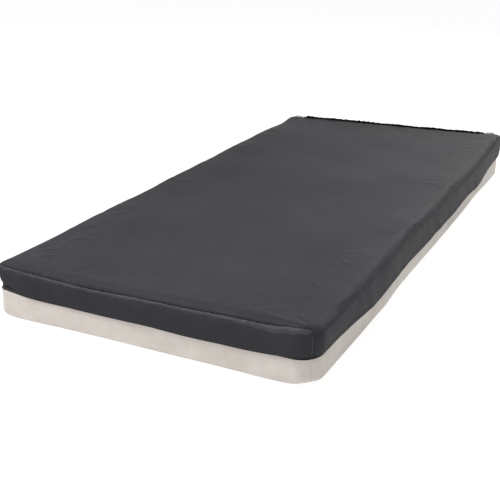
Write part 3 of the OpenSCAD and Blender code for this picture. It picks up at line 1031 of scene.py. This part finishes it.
# Half the tapes' thickness, and the middle of their thickness
TAPE_T = 0.0005
TAPE_X = LOWER_TAPE_HI.x - TAPE_T
FLANGE = UPPER_TAPE_HI.x - TAPE_X
TAPE_STEP = 0.009
ZIP_PAST_BAND = 0.002


def side_loop(step):
    """Points and outward directions round the side, along the middle of the zip's tapes."""
    w, l = TAPE_X, HALF_L - HALF_W + TAPE_X
    arcs = []
    for turn, (sx, sy) in enumerate(((1, 1), (-1, 1), (-1, -1), (1, -1))):
        r = float(corner_radius(sx, sy, BAND_CORNERS)) + ZIP_PAST_BAND
        angle = np.linspace(0, math.pi / 2, max(3, round(r * math.pi / 2 / step))) + turn * math.pi / 2
        out = np.stack([np.cos(angle), np.sin(angle)], axis=1)
        arcs.append((np.array([sx * (w - r), sy * (l - r)]) + r * out, out))
    points, outward = [], []
    for (arc, out), (next_arc, next_out) in zip(arcs, arcs[1:] + arcs[:1]):
        way = next_arc[0] - arc[-1]
        count = max(2, round(np.linalg.norm(way) / step))
        straight = arc[-1] + way * np.linspace(0, 1, count + 1)[1:-1, None]
        points += [arc, straight]
        outward += [out, np.repeat(next_out[:1], len(straight), axis=0)]
    return np.concatenate(points), np.concatenate(outward)


def runs_of(points, outward):
    """The stretches of the loop in each run, each with its points and outward directions."""
    found = []
    for low, high in RUN_ENDS:
        inside = (points[:, 1] >= low) & (points[:, 1] <= high)
        stretches = []
        for start in np.flatnonzero(inside & ~np.roll(inside, 1)):
            length = 1
            while inside[(start + length) % len(points)]:
                length += 1
            chosen = np.arange(start, start + length) % len(points)
            at = points[chosen]
            for end, other in ((0, 1), (-1, -2)):
                cut = low if abs(at[end, 1] - low) < abs(at[end, 1] - high) else high
                step = at[end] - at[other]
                share = (cut - at[end, 1]) / step[1] if abs(step[1]) > 1e-6 else 0
                at[end] = at[end] + step * share
            stretches.append((at, outward[chosen]))
        found.append(stretches)
    return found


def strip(layer, section):
    """A tape round the side with a fixed section, given as (outward, z) points, in three runs."""
    section = np.array(section)
    pieces = []
    for run, stretches in enumerate(runs_of(*side_loop(TAPE_STEP))):
        parts = []
        for at, out in stretches:
            plan = at[:, None] + out[:, None] * section[None, :, :1]
            z = np.broadcast_to(section[:, 1], plan.shape[:2])
            parts.append(settle_zip(np.dstack([plan, z]).reshape(-1, 3)).reshape(*z.shape, 3))
        pieces.append(running(merged(f"{layer}_{RUN_NAMES[run]}", parts), run, ZIP_TAPE, layer))
    return pieces


low, high = LOWER_TAPE_LO.z, LOWER_TAPE_HI.z
lower_tape = strip("lower_zip_tape", [(-TAPE_T, low), (TAPE_T, low), (TAPE_T, high), (-TAPE_T, high)])
# The upper tape's top edge turns outwards as a flange, which is sewn to the cover
low, high = UPPER_TAPE_LO.z, UPPER_TAPE_HI.z
upper_tape = strip("upper_zip_tape", [(-TAPE_T, low), (TAPE_T, low), (TAPE_T, high - 0.003),
                                      (FLANGE, high - 0.0012), (FLANGE, high), (-TAPE_T, high - 0.0016)])

TOOTH_PITCH = 0.0026
TOOTH_HALF_OUT = 0.0013
TOOTH_HALF_ALONG = 0.0007
TOOTH_LEAN = 0.0005
# How wide a tooth's tip is, as a share of its root, and where the cord lies between root and tip
TOOTH_TIP = 0.72
CORD_PLACE = 0.28
CORD_HALF_OUT = 0.0008
CORD_HALF_Z = 0.0004
BOX_FACES = np.array([(0, 2, 3, 1), (2, 4, 5, 3), (4, 6, 7, 5), (6, 0, 1, 7), (0, 6, 4, 2), (1, 3, 5, 7)])


def coil(layer, toward):
    """One side of the zip: a core cord with teeth that reach over it, up for toward 1, in three runs."""
    low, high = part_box(f"{layer}_seat")
    tip = high.z if toward > 0 else low.z
    cord = low.z + (CORD_PLACE if toward > 0 else 1 - CORD_PLACE) * (high.z - low.z)
    lean = toward * TOOTH_LEAN
    pieces = []
    for run, stretches in enumerate(runs_of(*side_loop(TOOTH_PITCH))):
        verts, faces, start = [], [], 0
        for at, out in stretches:
            onward = np.stack([-out[:, 1], out[:, 0]], axis=1)
            teeth = []
            for t, z, shift in ((-TOOTH_HALF_ALONG, low.z, -lean), (TOOTH_HALF_ALONG, low.z, -lean),
                                (TOOTH_HALF_ALONG, high.z, lean), (-TOOTH_HALF_ALONG, high.z, lean)):
                narrow = TOOTH_TIP if z == tip else 1.0
                for half in (-TOOTH_HALF_OUT, TOOTH_HALF_OUT):
                    plan = at + onward * (t * narrow + shift) + out * half * narrow
                    teeth.append(np.column_stack([plan, np.full(len(at), z)]))
            verts.append(np.stack(teeth, axis=1).reshape(-1, 3))
            faces.append((BOX_FACES[None] + (np.arange(len(at)) * 8)[:, None, None]).reshape(-1, 4) + start)
            start += len(verts[-1])
            ring = []
            for side, up in ((-1, -1), (1, -1), (1, 1), (-1, 1)):
                z = np.full(len(at), cord + up * CORD_HALF_Z)
                ring.append(np.column_stack([at + out * side * CORD_HALF_OUT, z]))
            verts.append(np.stack(ring, axis=1).reshape(-1, 3))
            index = np.arange(len(at) * 4).reshape(-1, 4)
            faces += [tube_faces(index)[:, ::-1] + start, np.array([index[0], index[-1][::-1]]) + start]
            start += len(verts[-1])
        piece = make_object(f"{layer}_{RUN_NAMES[run]}", settle_zip(np.concatenate(verts)),
                            np.concatenate(faces), sharp=40)
        pieces.append(running(piece, run, ZIP_COIL, layer))
    return pieces


lower_coil = coil("lower_zip_coil", 1)
upper_coil = coil("upper_zip_coil", -1)


# ---- Foam ----

CORE_CORNER_R = 0.056
SUPPORT_LO, SUPPORT_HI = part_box("support_foam_back")
RAIL_LO, RAIL_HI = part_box("side_rails_back")
RAIL_IN = SUPPORT_HI.x + 0.0005
RELIEF_LO, RELIEF_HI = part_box("relief_foam_back")
CORE_L = RELIEF_HI.y
PRESS_GAP = 0.0092


def rounded_outline(x0, x1, z0, z1, radii, steps=5):
    """A rectangle's outline with its own radius at each corner, from the low x0 corner round by x1."""
    points = []
    corners = ((x0, z0, 1, 1, 180), (x1, z0, -1, 1, 270), (x1, z1, -1, -1, 0), (x0, z1, 1, -1, 90))
    for (x, z, dx, dz, first), r in zip(corners, radii):
        for angle in np.radians(np.linspace(first, first + 90, steps)):
            points.append((x + dx * r + r * math.cos(angle), z + dz * r + r * math.sin(angle)))
    return np.array(points)


def pressed(points):
    """Foam points pressed in where the cover rounds over its upper edges."""
    x, y, z = points.T.copy()
    for place, half, radius in ((y, HALF_L, np.where(y < 0, FOOT_R, HEAD_R)), (x, HALF_W, SIDE_R)):
        past, above = np.abs(place) - (half - radius), z - (TOP_Z - radius)
        far = np.hypot(past, above)
        kept_share = np.minimum(1, (radius - PRESS_GAP) / np.maximum(far, 1e-6))
        keep = np.where((past > 0) & (above > 0), kept_share, 1)
        z += above * (keep - 1)
        place += np.sign(place) * past * (keep - 1)
    return np.stack([x, y, z], axis=1)


def foam_rings(low, high, outline, mirrored=1):
    """Rings of a foam block from y low to high, its outer upright corners rounded in plan."""
    near = CORE_L - CORE_CORNER_R * (1 - np.cos(np.radians(np.arange(0, 91, 15))))
    even = np.linspace(low, high, round((high - low) / 0.016) + 1)
    ys = np.concatenate([even, near, -near, [CORE_L - 0.002]])
    ys = np.unique(np.round(ys[(ys >= low) & (ys <= high)], 5))
    past = np.clip(np.abs(ys) - (CORE_L - CORE_CORNER_R), 0, CORE_CORNER_R)
    reach = np.abs(outline[:, 0]).max()
    limit = reach - (CORE_CORNER_R - np.sqrt(CORE_CORNER_R**2 - past**2 * 0.999))
    if reach < RAIL_HI.x - CORE_CORNER_R:
        limit[:] = reach
    rings = np.empty((len(ys), len(outline), 3))
    rings[:, :, 0] = np.clip(outline[:, 0], -limit[:, None], limit[:, None]) * mirrored
    rings[:, :, 1] = ys[:, None]
    rings[:, :, 2] = outline[:, 1]
    points = rings.reshape(-1, 3)
    points = points + np.stack([0.0005 * field(points, 51, 0.05, 0.2), 0 * points[:, 0],
                                0.0005 * field(points, 52, 0.05, 0.2)], axis=1)
    return settle_all(pressed(points)).reshape(rings.shape)


def foam_layer(layer, outlines, material, slack=0.0):
    """A foam layer in three runs. outlines are (outline, 1 or -1 for its mirror image) pairs."""
    pieces = []
    for run, (low, high) in enumerate(RUN_ENDS):
        low, high = max(low, slack - CORE_L), min(high, CORE_L - slack)
        parts = [foam_rings(low, high, outline, mirrored) for outline, mirrored in outlines]
        pieces.append(running(merged(f"{layer}_{RUN_NAMES[run]}", parts), run, material, layer))
    return pieces


rail = rounded_outline(RAIL_IN, RAIL_HI.x, RAIL_LO.z, RAIL_HI.z - 0.0015, (0.002, 0.004, 0.020, 0.003), 6)
rails = foam_layer("side_rails", [(rail, 1), (rail, -1)], RAIL_FOAM)
outline = rounded_outline(SUPPORT_LO.x, SUPPORT_HI.x, SUPPORT_LO.z, SUPPORT_HI.z, (0.002,) * 4)
support = foam_layer("support_foam", [(outline, 1)], SUPPORT_FOAM)

BASE_SLACK = 0.0075
low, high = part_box("base_foam_back")
outline = rounded_outline(low.x + BASE_SLACK, high.x - BASE_SLACK, low.z + 0.002, high.z,
                          (0.010, 0.010, 0.003, 0.003))
base_foam = foam_layer("base_foam", [(outline, 1)], BASE_FOAM, BASE_SLACK)

CELLS_X, CELLS_Y = 9, 25
CELL_GAP = 0.007
CELL_DEEP = 0.024
CELL_ROUND = 0.005
FLAT = 1e-5


def cell_lines(low, high, count, cuts=()):
    """Grid lines across a row of cells, close together at their edges, and how far each is in its cell."""
    pitch = (high - low) / count
    half = CELL_GAP / 2
    near = np.array([0, 0.0002, 0.0006, 0.0014, 0.0026, 0.005])
    places, inside = [low, high], [2 * FLAT, 2 * FLAT]
    for k in range(count):
        a = low + k * pitch + (half if k > 0 else 0)
        b = low + (k + 1) * pitch - (half if k < count - 1 else 0)
        middle = np.linspace(a + near[-1], b - near[-1], 7)[1:-1]
        line = np.concatenate([a + near, middle, (b - near)[::-1]])
        places += line.tolist()
        inside += np.minimum(line - a, b - line).tolist()
    for line in [low + k * pitch for k in range(1, count)] + list(cuts):
        past = (line - low) % pitch
        places.append(line)
        inside.append(min(past, pitch - past) - half)
    places, first = np.unique(np.round(places, 6), return_index=True)
    return places, np.array(inside)[first]


def relief_foam():
    """The castellated top layer: rounded cells on a slab, with narrow cuts between them."""
    xs, in_x = cell_lines(RELIEF_LO.x, RELIEF_HI.x, CELLS_X)
    ys, in_y = cell_lines(-CORE_L, CORE_L, CELLS_Y, (CUT_FOOT_Y, CUT_HEAD_Y))
    gx, gy = np.meshgrid(xs, ys, indexing="ij")
    dx, dy = np.meshgrid(in_x, in_y, indexing="ij")
    inside = (dx > FLAT) & (dy > FLAT)

    def fall(d):
        d = np.clip(d, 0, CELL_ROUND)
        return CELL_ROUND - np.sqrt(CELL_ROUND**2 - (CELL_ROUND - d) ** 2 * 0.999)

    top = RELIEF_HI.z - np.minimum(fall(dx) + fall(dy), CELL_ROUND * 1.2)
    z = np.where(inside, top, RELIEF_HI.z - CELL_DEEP)
    points = np.stack([gx.ravel(), gy.ravel(), z.ravel()], axis=1)
    points[:, 2] += 0.0006 * field(points, 53, 0.04, 0.2) * inside.ravel()
    floor_points = points * [1, 1, 0] + [0, 0, RELIEF_LO.z]
    index = np.arange(gx.size).reshape(gx.shape)
    faces = grid_faces(index)
    points, floor_points = settle_all(pressed(points)), settle_all(floor_points)
    plain = gy.ravel()[faces].mean(axis=1)
    pieces = []
    for run, (low, high) in enumerate(RUN_ENDS):
        part = faces[(plain > low) & (plain <= high)]
        piece = between(f"relief_foam_{RUN_NAMES[run]}", points, floor_points, part, sharp=45)
        pieces.append(running(piece, run, RELIEF_FOAM, "relief_foam"))
    return pieces


relief = relief_foam()


# ---- What the cloth was cut to ----

def run_length(run, half, drop=0.0):
    """A run's length, with its drop over the end of the mattress where it has one."""
    low, high = RUN_ENDS[run]
    return min(high, half) - max(low, -half) + (0 if run == 1 else drop)


for run in range(3):
    run_length(run, HALF_L)
    run_length(run, HALF_L, LINING_DROP)
    run_length(run, BAND_HALF_L, BAND_Z)


# ---- Camera, floor and light ----

def turn_towards(obj, aim, roll=0.0):
    obj.rotation_mode = "QUATERNION"
    look = (Vector(aim) - obj.location).to_track_quat("-Z", "Y")
    obj.rotation_quaternion = look @ Quaternion((0, 0, 1), math.radians(roll))


def camera_at(azimuth, elevation, distance, target, lens, roll, shift):
    """A camera that looks at target from that direction. Azimuth 0 looks along +Y."""
    a, e = math.radians(azimuth), math.radians(elevation)
    back = Vector((math.sin(a) * math.cos(e), -math.cos(a) * math.cos(e), math.sin(e)))
    data = bpy.data.cameras.new("camera")
    data.sensor_width, data.lens = 36.0, lens
    data.shift_x, data.shift_y = shift
    data.clip_start, data.clip_end = 0.1, 60
    camera = bpy.data.objects.new("camera", data)
    bpy.context.scene.collection.objects.link(camera)
    camera.location = Vector(target) + back * distance
    turn_towards(camera, target, roll)
    bpy.context.scene.camera = camera


def area_light(name, place, aim, size, power):
    data = bpy.data.lights.new(name, "AREA")
    data.shape, data.size, data.energy = "DISK", size, power
    light = bpy.data.objects.new(name, data)
    light.location = place
    light.visible_camera = False
    turn_towards(light, aim)
    bpy.context.scene.collection.objects.link(light)


camera_at(azimuth=25.56, elevation=20.73, distance=2.802, target=(-0.013, -0.436, 0.076), lens=67.38,
          roll=0.68, shift=(0.02, -0.003))
area_light("overhead", place=(-0.4, -0.2, 4.0), aim=(0, 0, 0.1), size=3.6, power=36)
area_light("back", place=(0.6, 3.6, 2.4), aim=(0.1, 0.6, 0.15), size=3.0, power=78)
area_light("fill", place=(-0.45, -1.35, 1.4), aim=(-0.05, -0.95, 0.1), size=1.0, power=24)


def studio_world(backdrop, ceiling):
    """A white backdrop up to a low height, with a dimmer ceiling above it."""
    world = bpy.data.worlds.new("studio")
    bpy.context.scene.world = world
    world.use_nodes = True
    tree = world.node_tree
    rise = tree.nodes.new("ShaderNodeSeparateXYZ")
    ramp = tree.nodes.new("ShaderNodeMapRange")
    tree.links.new(tree.nodes.new("ShaderNodeTexCoord").outputs["Generated"], rise.inputs[0])
    tree.links.new(rise.outputs["Z"], ramp.inputs["Value"])
    for key, number in (("From Min", 0.20), ("From Max", 0.50), ("To Min", backdrop), ("To Max", ceiling)):
        ramp.inputs[key].default_value = number
    background = tree.nodes["Background"]
    background.inputs["Color"].default_value = (1, 1, 1, 1)
    tree.links.new(ramp.outputs["Result"], background.inputs["Strength"])


studio_world(1.0, 0.34)

FLOOR_HALF = 30
FLOOR_Z = -0.0005
corners = [(x * FLOOR_HALF, y * FLOOR_HALF, 0) for x, y in ((-1, -1), (1, -1), (1, 1), (-1, 1))]
floor_mesh = bpy.data.meshes.new("floor")
floor_mesh.from_pydata(corners, [], [(0, 1, 2, 3)])
floor_material = new_material("floor_look")[0]
floor_mesh.materials.append(finish(floor_material, (0.28, 0.28, 0.28), 0.95, Specular_IOR_Level=0.1,
                                   Emission_Color=(1, 1, 1), Emission_Strength=0.84))
floor = bpy.data.objects.new("floor", floor_mesh)
floor.location.z = FLOOR_Z
bpy.context.scene.collection.objects.link(floor)
bpy.context.scene.view_settings.view_transform = "Standard"
